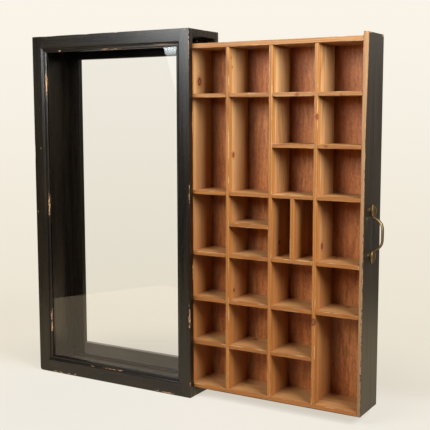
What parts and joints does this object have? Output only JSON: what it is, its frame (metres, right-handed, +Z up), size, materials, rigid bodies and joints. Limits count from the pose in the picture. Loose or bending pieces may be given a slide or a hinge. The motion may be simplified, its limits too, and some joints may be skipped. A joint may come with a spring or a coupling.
{
  "type": "wall display cabinet",
  "caption": "Glazed black wall case, open at the back, with a pine tray of small compartments that slides out of its side on runners by a cast brass pull.",
  "frame": {"origin": "centre of the case's underside, without the tray's overhang", "axes": "+X towards the side that the tray slides out of, +Y towards the wall behind the case, +Z up"},
  "size_m": [0.6748, 0.099, 0.64],
  "materials": {
    "black_paint": "satin black paint over pine, worn through at the edges",
    "pine": "waxed knotty pine",
    "red_plywood": "bare reddish plywood",
    "end_board": "satin black paint outside, bare pine inside and on the edges",
    "glass": "clear, polished",
    "aged_brass": "aged, dark in the hollows",
    "steel": "plain zinc plate"
  },
  "bodies": {
    "case": {"back_rail_bottom": "black_paint", "back_rail_top": "black_paint", "back_stile_left": "black_paint", "back_stile_right": "black_paint", "case_bottom": "black_paint", "case_left_side": "black_paint", "case_top": "black_paint", "front_glass": "glass", "front_rail_bottom": "black_paint", "front_rail_top": "black_paint", "front_stile_left": "black_paint", "front_stile_right": "black_paint", "glass_bead_bottom": "black_paint", "glass_bead_left": "black_paint", "glass_bead_right": "black_paint", "glass_bead_top": "black_paint", "hanging_plate_left": "steel", "hanging_plate_right": "steel", "plate_screw_left_1": "steel", "plate_screw_left_2": "steel", "plate_screw_right_1": "steel", "plate_screw_right_2": "steel", "runner_back": "black_paint", "runner_front": "black_paint", "tray_stop": "black_paint"},
    "tray": {"handle": "aged_brass", "handle_screw_lower": "steel", "handle_screw_upper": "steel", "shelf_1_1": "pine", "shelf_1_2": "pine", "shelf_1_3": "pine", "shelf_1_4": "pine", "shelf_1_5": "pine", "shelf_2_1": "pine", "shelf_2_2": "pine", "shelf_2_3": "pine", "shelf_2_4": "pine", "shelf_2_5": "pine", "shelf_2_6": "pine", "shelf_3_1": "pine", "shelf_3_2": "pine", "shelf_3_3": "pine", "shelf_3_4": "pine", "shelf_3_5": "pine", "shelf_3_6": "pine", "shelf_4_1": "pine", "shelf_4_2": "pine", "shelf_4_3": "pine", "shelf_4_4": "pine", "shelf_4_5": "pine", "tray_back_panel": "red_plywood", "tray_bottom": "pine", "tray_divider_1": "pine", "tray_divider_2": "pine", "tray_divider_3": "pine", "tray_end_left": "pine", "tray_end_right": "end_board", "tray_top": "pine", "tray_upright": "pine"}
  },
  "joints": [
    {"name": "tray_slide", "type": "slide", "parent": "case", "child": "tray", "axis": [1, 0, 0], "range_m": [-0.3095, 0]}
  ]
}
